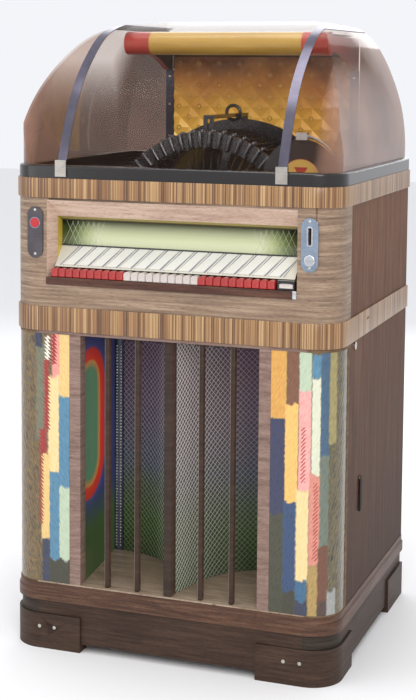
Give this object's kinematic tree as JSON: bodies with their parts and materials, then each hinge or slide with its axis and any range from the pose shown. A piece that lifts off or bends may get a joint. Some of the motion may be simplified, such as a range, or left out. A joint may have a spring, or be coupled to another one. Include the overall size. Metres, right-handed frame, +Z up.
{
  "type": "jukebox",
  "caption": "Floor-standing coin-operated record jukebox: wooden cabinet with a clear domed lid, a key row, lit pilasters, a bayed grille door and a record-changer mechanism.",
  "frame": {"origin": "centre of the footprint, on the floor", "axes": "+Z up, +Y to the back, +X to the right of a person facing the front"},
  "size_m": [0.76, 0.65, 1.415],
  "materials": {
    "walnut": "satin lacquered walnut veneer",
    "dark_wood": "dark stained wood",
    "striped_wood": "ribbed striped veneer",
    "clear_acrylic": "clear tinted acrylic",
    "rippled_plastic": "rippled translucent plastic",
    "strap_metal": "polished metal strap",
    "grey_steel": "plated steel",
    "black_metal": "black enamelled metal",
    "vinyl": "pressed record",
    "gold_plastic": "gold moulded panel",
    "lamp": "yellow and red lamp cover",
    "title_white": "white title strips on a lit rack",
    "red_plastic": "red key",
    "white_plastic": "white key",
    "chrome": "chrome plate",
    "screen_metal": "perforated sheet",
    "cast_alloy": "cast alloy",
    "cone_paper": "speaker basket and cone"
  },
  "bodies": {
    "cabinet": {"base_plinth": "dark_wood", "cabinet_shell": "walnut", "band_mouldings": "striped_wood", "selector_fascia": "walnut", "mechanism_deck": "black_metal", "title_rack": "title_white", "key_rail": "black_metal", "escutcheons": "chrome", "coin_unit": "grey_steel", "amplifier": "grey_steel", "speaker": "cone_paper", "mechanism_frame": "grey_steel"},
    "lid": {"lid_rim": "dark_wood", "dome_glass": "clear_acrylic", "dome_straps": "strap_metal", "backdrop_panel": "gold_plastic", "canopy_lamp": "lamp"},
    "front_door": {"door_frame": "walnut", "pilasters": "rippled_plastic", "grille_screen": "screen_metal", "grille_bars": "dark_wood"},
    "rear_door": {"rear_door": "dark_wood"},
    "magazine": {"magazine_wheel": "black_metal", "records": "vinyl"},
    "turntable": {"turntable": "black_metal"},
    "tone_arm": {"tone_arm": "cast_alloy"},
    "gripper_arm": {"gripper_arm": "cast_alloy"},
    "coin_return_button": {"coin_return_button": "chrome"},
    "door_latch": {"door_latch": "black_metal"},
    "key_01": {"key_01": "red_plastic"},
    "key_02": {"key_02": "red_plastic"},
    "key_03": {"key_03": "red_plastic"},
    "key_04": {"key_04": "red_plastic"},
    "key_05": {"key_05": "red_plastic"},
    "key_06": {"key_06": "red_plastic"},
    "key_07": {"key_07": "red_plastic"},
    "key_08": {"key_08": "red_plastic"},
    "key_09": {"key_09": "red_plastic"},
    "key_10": {"key_10": "red_plastic"},
    "key_11": {"key_11": "white_plastic"},
    "key_12": {"key_12": "white_plastic"},
    "key_13": {"key_13": "white_plastic"},
    "key_14": {"key_14": "white_plastic"},
    "key_15": {"key_15": "white_plastic"},
    "key_16": {"key_16": "white_plastic"},
    "key_17": {"key_17": "white_plastic"},
    "key_18": {"key_18": "white_plastic"},
    "key_19": {"key_19": "white_plastic"},
    "key_20": {"key_20": "white_plastic"},
    "key_21": {"key_21": "red_plastic"},
    "key_22": {"key_22": "red_plastic"},
    "key_23": {"key_23": "red_plastic"},
    "key_24": {"key_24": "red_plastic"},
    "key_25": {"key_25": "red_plastic"},
    "key_26": {"key_26": "red_plastic"},
    "key_27": {"key_27": "red_plastic"},
    "key_28": {"key_28": "red_plastic"},
    "key_29": {"key_29": "red_plastic"},
    "key_30": {"key_30": "red_plastic"},
    "key_31": {"key_31": "chrome"}
  },
  "joints": [
    {"name": "lid_hinge", "type": "hinge", "parent": "cabinet", "child": "lid", "pos_m": [0, 0.321, 1.06], "axis": [-1, 0, 0], "range_deg": [0, 65]},
    {"name": "front_door_hinge", "type": "hinge", "parent": "cabinet", "child": "front_door", "pos_m": [-0.376, -0.22, 0.436], "axis": [0, 0, -1], "range_deg": [0, 100]},
    {"name": "rear_door_hinge", "type": "hinge", "parent": "cabinet", "child": "rear_door", "pos_m": [-0.334, 0.321, 0.6], "axis": [0, 0, 1], "range_deg": [0, 100]},
    {"name": "magazine_turn", "type": "hinge", "parent": "cabinet", "child": "magazine", "pos_m": [0, 0.03, 0.919], "axis": [0, 1, 0], "continuous": true},
    {"name": "turntable_spin", "type": "hinge", "parent": "cabinet", "child": "turntable", "pos_m": [0.238, -0.12, 1.062], "axis": [0, 1, 0], "continuous": true},
    {"name": "tone_arm_pivot", "type": "hinge", "parent": "cabinet", "child": "tone_arm", "pos_m": [0.331, -0.12, 1.031], "axis": [0, -1, 0], "range_deg": [0, 28]},
    {"name": "gripper_swing", "type": "hinge", "parent": "cabinet", "child": "gripper_arm", "pos_m": [0, 0.171, 0.919], "axis": [0, 1, 0], "range_deg": [0, 48]},
    {"name": "latch_turn", "type": "hinge", "parent": "cabinet", "child": "door_latch", "pos_m": [0.376, -0.12, 0.372], "axis": [1, 0, 0], "range_deg": [0, 90]},
    {"name": "coin_return_press", "type": "slide", "parent": "cabinet", "child": "coin_return_button", "axis": [0, 1, 0], "range_m": [0, 0.004], "stiffness_N_per_m": 250},
    {"name": "key_01_press", "type": "slide", "parent": "cabinet", "child": "key_01", "axis": [0, 1, 0], "range_m": [0, 0.005], "stiffness_N_per_m": 120},
    {"name": "key_02_press", "type": "slide", "parent": "cabinet", "child": "key_02", "axis": [0, 1, 0], "range_m": [0, 0.005], "stiffness_N_per_m": 120},
    {"name": "key_03_press", "type": "slide", "parent": "cabinet", "child": "key_03", "axis": [0, 1, 0], "range_m": [0, 0.005], "stiffness_N_per_m": 120},
    {"name": "key_04_press", "type": "slide", "parent": "cabinet", "child": "key_04", "axis": [0, 1, 0], "range_m": [0, 0.005], "stiffness_N_per_m": 120},
    {"name": "key_05_press", "type": "slide", "parent": "cabinet", "child": "key_05", "axis": [0, 1, 0], "range_m": [0, 0.005], "stiffness_N_per_m": 120},
    {"name": "key_06_press", "type": "slide", "parent": "cabinet", "child": "key_06", "axis": [0, 1, 0], "range_m": [0, 0.005], "stiffness_N_per_m": 120},
    {"name": "key_07_press", "type": "slide", "parent": "cabinet", "child": "key_07", "axis": [0, 1, 0], "range_m": [0, 0.005], "stiffness_N_per_m": 120},
    {"name": "key_08_press", "type": "slide", "parent": "cabinet", "child": "key_08", "axis": [0, 1, 0], "range_m": [0, 0.005], "stiffness_N_per_m": 120},
    {"name": "key_09_press", "type": "slide", "parent": "cabinet", "child": "key_09", "axis": [0, 1, 0], "range_m": [0, 0.005], "stiffness_N_per_m": 120},
    {"name": "key_10_press", "type": "slide", "parent": "cabinet", "child": "key_10", "axis": [0, 1, 0], "range_m": [0, 0.005], "stiffness_N_per_m": 120},
    {"name": "key_11_press", "type": "slide", "parent": "cabinet", "child": "key_11", "axis": [0, 1, 0], "range_m": [0, 0.005], "stiffness_N_per_m": 120},
    {"name": "key_12_press", "type": "slide", "parent": "cabinet", "child": "key_12", "axis": [0, 1, 0], "range_m": [0, 0.005], "stiffness_N_per_m": 120},
    {"name": "key_13_press", "type": "slide", "parent": "cabinet", "child": "key_13", "axis": [0, 1, 0], "range_m": [0, 0.005], "stiffness_N_per_m": 120},
    {"name": "key_14_press", "type": "slide", "parent": "cabinet", "child": "key_14", "axis": [0, 1, 0], "range_m": [0, 0.005], "stiffness_N_per_m": 120},
    {"name": "key_15_press", "type": "slide", "parent": "cabinet", "child": "key_15", "axis": [0, 1, 0], "range_m": [0, 0.005], "stiffness_N_per_m": 120},
    {"name": "key_16_press", "type": "slide", "parent": "cabinet", "child": "key_16", "axis": [0, 1, 0], "range_m": [0, 0.005], "stiffness_N_per_m": 120},
    {"name": "key_17_press", "type": "slide", "parent": "cabinet", "child": "key_17", "axis": [0, 1, 0], "range_m": [0, 0.005], "stiffness_N_per_m": 120},
    {"name": "key_18_press", "type": "slide", "parent": "cabinet", "child": "key_18", "axis": [0, 1, 0], "range_m": [0, 0.005], "stiffness_N_per_m": 120},
    {"name": "key_19_press", "type": "slide", "parent": "cabinet", "child": "key_19", "axis": [0, 1, 0], "range_m": [0, 0.005], "stiffness_N_per_m": 120},
    {"name": "key_20_press", "type": "slide", "parent": "cabinet", "child": "key_20", "axis": [0, 1, 0], "range_m": [0, 0.005], "stiffness_N_per_m": 120},
    {"name": "key_21_press", "type": "slide", "parent": "cabinet", "child": "key_21", "axis": [0, 1, 0], "range_m": [0, 0.005], "stiffness_N_per_m": 120},
    {"name": "key_22_press", "type": "slide", "parent": "cabinet", "child": "key_22", "axis": [0, 1, 0], "range_m": [0, 0.005], "stiffness_N_per_m": 120},
    {"name": "key_23_press", "type": "slide", "parent": "cabinet", "child": "key_23", "axis": [0, 1, 0], "range_m": [0, 0.005], "stiffness_N_per_m": 120},
    {"name": "key_24_press", "type": "slide", "parent": "cabinet", "child": "key_24", "axis": [0, 1, 0], "range_m": [0, 0.005], "stiffness_N_per_m": 120},
    {"name": "key_25_press", "type": "slide", "parent": "cabinet", "child": "key_25", "axis": [0, 1, 0], "range_m": [0, 0.005], "stiffness_N_per_m": 120},
    {"name": "key_26_press", "type": "slide", "parent": "cabinet", "child": "key_26", "axis": [0, 1, 0], "range_m": [0, 0.005], "stiffness_N_per_m": 120},
    {"name": "key_27_press", "type": "slide", "parent": "cabinet", "child": "key_27", "axis": [0, 1, 0], "range_m": [0, 0.005], "stiffness_N_per_m": 120},
    {"name": "key_28_press", "type": "slide", "parent": "cabinet", "child": "key_28", "axis": [0, 1, 0], "range_m": [0, 0.005], "stiffness_N_per_m": 120},
    {"name": "key_29_press", "type": "slide", "parent": "cabinet", "child": "key_29", "axis": [0, 1, 0], "range_m": [0, 0.005], "stiffness_N_per_m": 120},
    {"name": "key_30_press", "type": "slide", "parent": "cabinet", "child": "key_30", "axis": [0, 1, 0], "range_m": [0, 0.005], "stiffness_N_per_m": 120},
    {"name": "key_31_press", "type": "slide", "parent": "cabinet", "child": "key_31", "axis": [0, 1, 0], "range_m": [0, 0.005], "stiffness_N_per_m": 120}
  ]
}
